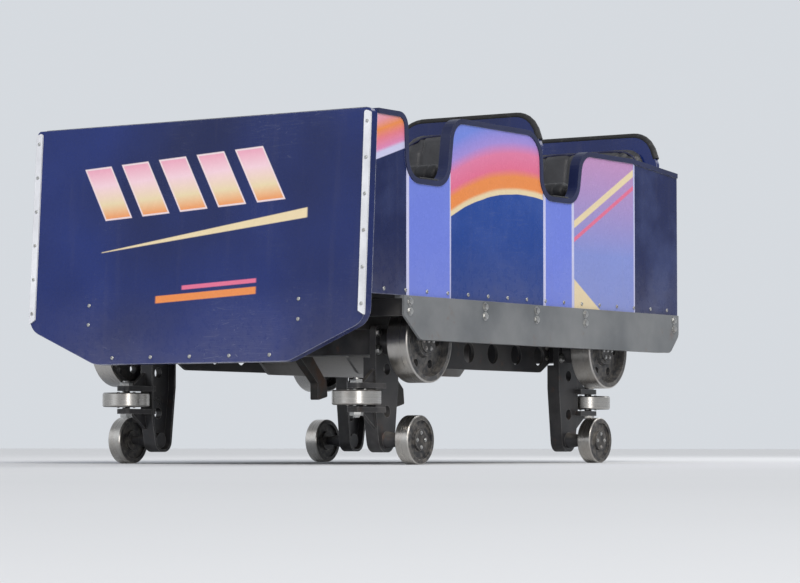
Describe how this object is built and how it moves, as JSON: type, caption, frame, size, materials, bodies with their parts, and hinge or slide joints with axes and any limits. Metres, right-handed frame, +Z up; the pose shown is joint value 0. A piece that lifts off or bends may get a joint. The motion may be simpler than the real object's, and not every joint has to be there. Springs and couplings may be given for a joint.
{
  "type": "lead car of a wooden roller coaster train",
  "caption": "Low open two-row ride car with flat nose panel, scalloped step-in sides, hinged lap bars and road, guide and up-stop wheels that wrap a flat-topped rail.",
  "frame": {"origin": "on the floor under the middle of the overall length, which runs from the foot of the nose panel to the end of the drawbar", "axes": "+X forward towards the nose panel, +Y to the riders' left, +Z up"},
  "size_m": [2.198, 1.3, 1.135],
  "materials": {
    "navy_gelcoat": "glossy navy gelcoat with pale slanted bands, faded by the sun",
    "painted_side": "gloss gelcoat, blue with lavender step-ins and warm bands",
    "white_trim": "white enamel, chipped at the edges",
    "grey_sill": "weathered grey paint on folded steel",
    "black_steel": "black chassis paint with dust and grease",
    "carrier_steel": "black paint, worn, with grease at the hubs",
    "wheel_steel": "turned steel, bright on the tread and dark on the web",
    "wheel_black": "black paint with a bright worn tread",
    "bar_steel": "black powder coat",
    "pad_foam": "black moulded foam with a leathery skin",
    "cushion_vinyl": "black vinyl over foam",
    "shell_navy": "navy glass-fibre shell",
    "floor_grey": "dark grey non-slip coating",
    "dash_black": "matt black moulding",
    "rail_steel": "bare stainless tube",
    "fin_steel": "bare steel, brake-polished",
    "dog_steel": "forged steel with grease"
  },
  "bodies": {
    "car": {"chassis_channels": "black_steel", "cross_members": "black_steel", "side_frames": "black_steel", "nose_brackets": "black_steel", "side_sills": "grey_sill", "floor_pan": "floor_grey", "nose_panel": "navy_gelcoat", "nose_trim": "white_trim", "dash_panel": "dash_black", "side_wall_left": "painted_side", "side_wall_right": "painted_side", "side_copings": "navy_gelcoat", "rear_panel": "navy_gelcoat", "seat_bases": "dash_black", "seat_shell_front": "shell_navy", "seat_shell_rear": "shell_navy", "seat_cushions": "cushion_vinyl", "back_cushions": "cushion_vinyl", "seat_dividers": "cushion_vinyl", "grab_rails": "rail_steel", "lap_bar_mounts": "bar_steel", "axle_beams": "carrier_steel", "wheel_carriers": "carrier_steel", "brake_fins": "fin_steel", "dog_brackets": "black_steel", "coupling_yoke": "black_steel"},
    "road_wheel_fl": {"road_wheel_fl": "wheel_steel"},
    "guide_wheel_fl": {"guide_wheel_fl": "wheel_black"},
    "upstop_wheel_fl": {"upstop_wheel_fl": "wheel_black"},
    "road_wheel_fr": {"road_wheel_fr": "wheel_steel"},
    "guide_wheel_fr": {"guide_wheel_fr": "wheel_black"},
    "upstop_wheel_fr": {"upstop_wheel_fr": "wheel_black"},
    "road_wheel_rl": {"road_wheel_rl": "wheel_steel"},
    "guide_wheel_rl": {"guide_wheel_rl": "wheel_black"},
    "upstop_wheel_rl": {"upstop_wheel_rl": "wheel_black"},
    "road_wheel_rr": {"road_wheel_rr": "wheel_steel"},
    "guide_wheel_rr": {"guide_wheel_rr": "wheel_black"},
    "upstop_wheel_rr": {"upstop_wheel_rr": "wheel_black"},
    "lap_bar_fl": {"lap_bar_fl": "bar_steel", "lap_pad_fl": "pad_foam"},
    "lap_bar_fr": {"lap_bar_fr": "bar_steel", "lap_pad_fr": "pad_foam"},
    "lap_bar_rl": {"lap_bar_rl": "bar_steel", "lap_pad_rl": "pad_foam"},
    "lap_bar_rr": {"lap_bar_rr": "bar_steel", "lap_pad_rr": "pad_foam"},
    "chain_dog": {"chain_dog": "dog_steel"},
    "rollback_dog": {"rollback_dog": "dog_steel"},
    "drawbar": {"drawbar": "black_steel"}
  },
  "joints": [
    {"name": "road_wheel_fl_spin", "type": "hinge", "parent": "car", "child": "road_wheel_fl", "pos_m": [0.699, 0.573, 0.375], "axis": [0, 1, 0], "continuous": true},
    {"name": "guide_wheel_fl_spin", "type": "hinge", "parent": "car", "child": "guide_wheel_fl", "pos_m": [0.849, 0.444, 0.203], "axis": [0, 0, 1], "continuous": true},
    {"name": "upstop_wheel_fl_spin", "type": "hinge", "parent": "car", "child": "upstop_wheel_fl", "pos_m": [0.699, 0.555, 0.075], "axis": [0, 1, 0], "continuous": true},
    {"name": "road_wheel_fr_spin", "type": "hinge", "parent": "car", "child": "road_wheel_fr", "pos_m": [0.699, -0.573, 0.375], "axis": [0, 1, 0], "continuous": true},
    {"name": "guide_wheel_fr_spin", "type": "hinge", "parent": "car", "child": "guide_wheel_fr", "pos_m": [0.849, -0.444, 0.203], "axis": [0, 0, 1], "continuous": true},
    {"name": "upstop_wheel_fr_spin", "type": "hinge", "parent": "car", "child": "upstop_wheel_fr", "pos_m": [0.699, -0.555, 0.075], "axis": [0, 1, 0], "continuous": true},
    {"name": "road_wheel_rl_spin", "type": "hinge", "parent": "car", "child": "road_wheel_rl", "pos_m": [-0.401, 0.573, 0.375], "axis": [0, 1, 0], "continuous": true},
    {"name": "guide_wheel_rl_spin", "type": "hinge", "parent": "car", "child": "guide_wheel_rl", "pos_m": [-0.551, 0.444, 0.203], "axis": [0, 0, 1], "continuous": true},
    {"name": "upstop_wheel_rl_spin", "type": "hinge", "parent": "car", "child": "upstop_wheel_rl", "pos_m": [-0.401, 0.555, 0.075], "axis": [0, 1, 0], "continuous": true},
    {"name": "road_wheel_rr_spin", "type": "hinge", "parent": "car", "child": "road_wheel_rr", "pos_m": [-0.401, -0.573, 0.375], "axis": [0, 1, 0], "continuous": true},
    {"name": "guide_wheel_rr_spin", "type": "hinge", "parent": "car", "child": "guide_wheel_rr", "pos_m": [-0.551, -0.444, 0.203], "axis": [0, 0, 1], "continuous": true},
    {"name": "upstop_wheel_rr_spin", "type": "hinge", "parent": "car", "child": "upstop_wheel_rr", "pos_m": [-0.401, -0.555, 0.075], "axis": [0, 1, 0], "continuous": true},
    {"name": "lap_bar_fl_hinge", "type": "hinge", "parent": "car", "child": "lap_bar_fl", "pos_m": [0.709, 0.322, 0.58], "axis": [0, 1, 0], "range_deg": [0, 42]},
    {"name": "lap_bar_fr_hinge", "type": "hinge", "parent": "car", "child": "lap_bar_fr", "pos_m": [0.709, -0.322, 0.58], "axis": [0, 1, 0], "range_deg": [0, 42]},
    {"name": "lap_bar_rl_hinge", "type": "hinge", "parent": "car", "child": "lap_bar_rl", "pos_m": [-0.076, 0.322, 0.58], "axis": [0, 1, 0], "range_deg": [0, 42]},
    {"name": "lap_bar_rr_hinge", "type": "hinge", "parent": "car", "child": "lap_bar_rr", "pos_m": [-0.076, -0.322, 0.58], "axis": [0, 1, 0], "range_deg": [0, 42]},
    {"name": "chain_dog_hinge", "type": "hinge", "parent": "car", "child": "chain_dog", "pos_m": [0.126, 0, 0.37], "axis": [0, 1, 0], "range_deg": [0, 35]},
    {"name": "rollback_dog_hinge", "type": "hinge", "parent": "car", "child": "rollback_dog", "pos_m": [0.436, -0.07, 0.37], "axis": [0, 1, 0], "range_deg": [0, 30]},
    {"name": "drawbar_yaw", "type": "hinge", "parent": "car", "child": "drawbar", "pos_m": [-0.861, 0, 0.462], "axis": [0, 0, 1], "range_deg": [-20, 20]}
  ]
}
